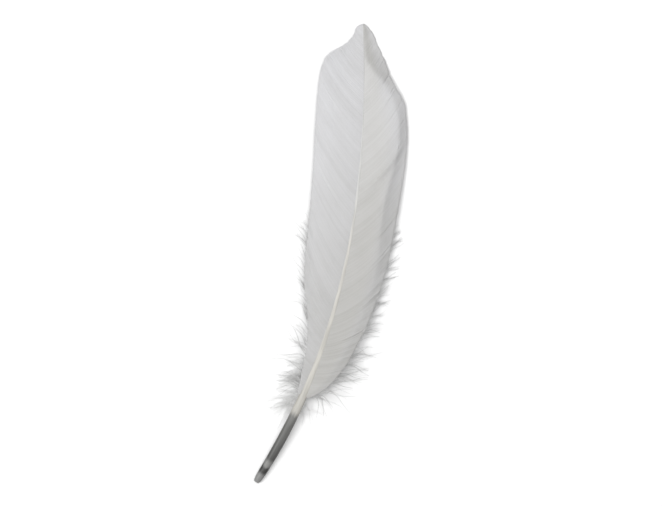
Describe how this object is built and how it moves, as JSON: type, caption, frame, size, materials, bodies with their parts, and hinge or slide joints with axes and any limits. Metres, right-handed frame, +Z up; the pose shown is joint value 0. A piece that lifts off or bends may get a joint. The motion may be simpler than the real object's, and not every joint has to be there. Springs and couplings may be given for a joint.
{
  "type": "goose quill feather",
  "caption": "White goose feather: a curved bare quill runs on as a tapering shaft between webbed vanes, smooth and close above, loose and downy at the base. Lies flat.",
  "frame": {"origin": "centre of the feather's footprint, on the surface it lies on", "axes": "+Z up, out of the feather's upper side; +Y along its length towards the tip; +X to the right, seen from above with the tip away"},
  "size_m": [0.0586, 0.1726, 0.0063],
  "materials": {
    "shaft": "satin keratin horn, cream along the vanes and grey and half clear on the bare quill",
    "vane": "fine combed white barbs with a soft silky sheen, fluffy at the base"
  },
  "bodies": {
    "root": {"shaft": "shaft", "left_vane": "vane", "right_vane": "vane"}
  },
  "joints": []
}
